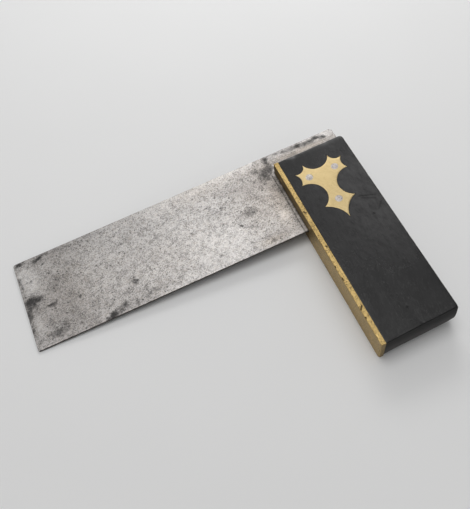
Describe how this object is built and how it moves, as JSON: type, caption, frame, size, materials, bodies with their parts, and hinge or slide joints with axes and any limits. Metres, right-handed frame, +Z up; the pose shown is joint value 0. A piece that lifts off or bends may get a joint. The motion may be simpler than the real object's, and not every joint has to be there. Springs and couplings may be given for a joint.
{
  "type": "carpenter try square",
  "caption": "Woodworker's try square: a steel blade riveted at right angles into a dark hardwood stock with a brass facing and flush cusped brass plates, for marking and checking square edges.",
  "frame": {"origin": "the inside corner of the square, where the blade's inner edge meets the brass face, on the blade's mid-plane", "axes": "+X along the blade towards its tip, +Y along the stock towards its butt, +Z up, square to the blade"},
  "size_m": [0.1941, 0.1295, 0.0176],
  "materials": {
    "ebony": "satin",
    "facing_brass": "satin",
    "plate_brass": "satin",
    "blade_steel": "satin",
    "rivet_steel": "satin",
    "pin_brass": "satin"
  },
  "bodies": {
    "root": {"stock": "ebony", "brass_facing": "facing_brass", "blade": "blade_steel", "front_plate": "plate_brass", "back_plate": "plate_brass", "rivet_inner": "rivet_steel", "rivet_outer": "rivet_steel", "rivet_lower": "rivet_steel", "facing_pin_1": "pin_brass", "facing_pin_2": "pin_brass", "facing_pin_3": "pin_brass", "facing_pin_4": "pin_brass", "facing_pin_5": "pin_brass"}
  },
  "joints": []
}
